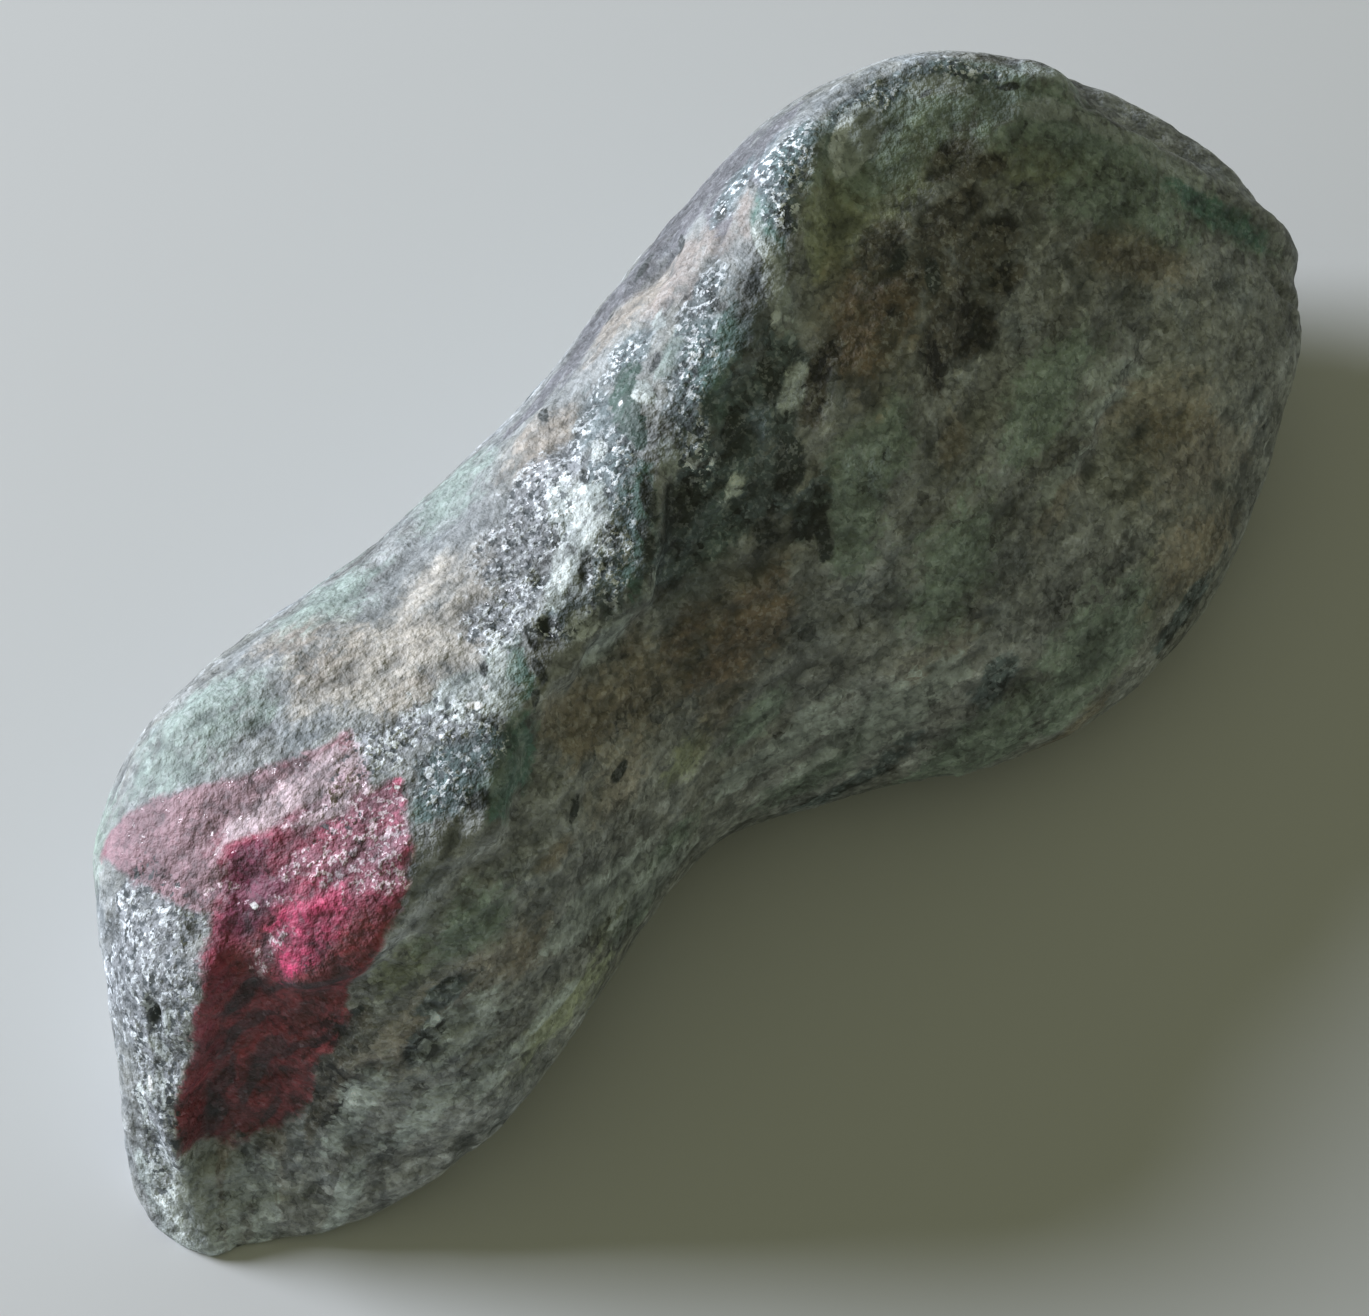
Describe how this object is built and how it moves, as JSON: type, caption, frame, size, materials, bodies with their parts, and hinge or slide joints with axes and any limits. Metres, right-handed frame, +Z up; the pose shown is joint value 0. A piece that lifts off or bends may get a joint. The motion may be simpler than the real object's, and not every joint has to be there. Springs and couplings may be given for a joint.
{
  "type": "ruby in zoisite stone",
  "caption": "Worn, waisted lump of grey-green zoisite with a pink-red ruby crystal flush in the narrow end, lying on a flat underside.",
  "frame": {"origin": "middle of the bounding box, on the surface that the stone rests on", "axes": "+Z is up, +X points along the stone to the narrow ruby end, and the front flank faces -Y"},
  "size_m": [0.044, 0.0186, 0.0142],
  "materials": {
    "stone": "matt frosted crystalline rock in grey-green with black, green and brown patches and a pink-red ruby patch on the narrow end"
  },
  "bodies": {
    "root": {"stone": "stone"}
  },
  "joints": []
}
